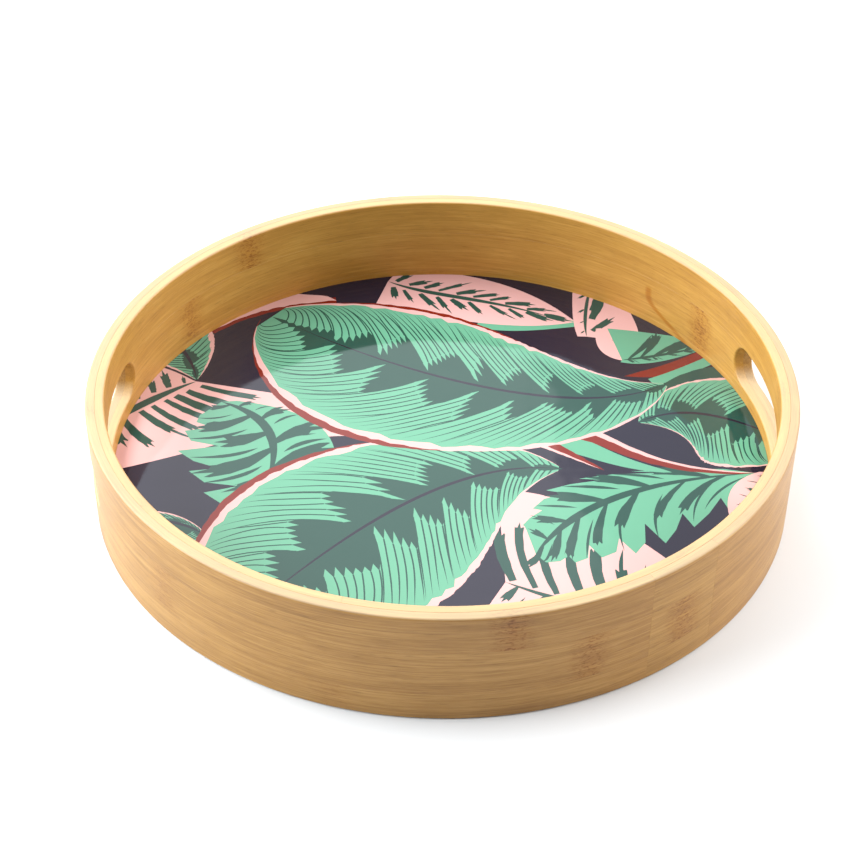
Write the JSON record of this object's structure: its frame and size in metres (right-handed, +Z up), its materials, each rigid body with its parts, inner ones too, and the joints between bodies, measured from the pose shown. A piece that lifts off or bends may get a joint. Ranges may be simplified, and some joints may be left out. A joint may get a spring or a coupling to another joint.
{
  "type": "serving tray",
  "caption": "Round serving tray: a bamboo hoop wall with finger slots on opposite sides and a glossy printed floor let into a groove.",
  "frame": {"origin": "centre of the ring that the tray stands on, on the surface under it", "axes": "+Z up out of the open top; X through both finger slots; the splice in the outer ply is between -Y and +X"},
  "size_m": [0.35, 0.35, 0.06],
  "materials": {
    "bamboo_outer": "satin clear lacquer over bamboo",
    "bamboo_splice": "satin clear lacquer over bamboo",
    "bamboo_inner": "satin clear lacquer over bamboo",
    "backing": "matt",
    "fibreboard": "raw sawn edge",
    "print": "leaf print under clear gloss"
  },
  "bodies": {
    "root": {"outer_strip_bottom": "bamboo_outer", "outer_strip_middle": "bamboo_outer", "outer_strip_top": "bamboo_outer", "splice_strip_bottom": "bamboo_splice", "splice_strip_middle": "bamboo_splice", "splice_strip_top": "bamboo_splice", "inner_strip_bottom": "bamboo_inner", "inner_strip_middle": "bamboo_inner", "inner_strip_top": "bamboo_inner", "backing_sheet": "backing", "floor_board": "fibreboard", "printed_sheet": "print"}
  },
  "joints": []
}
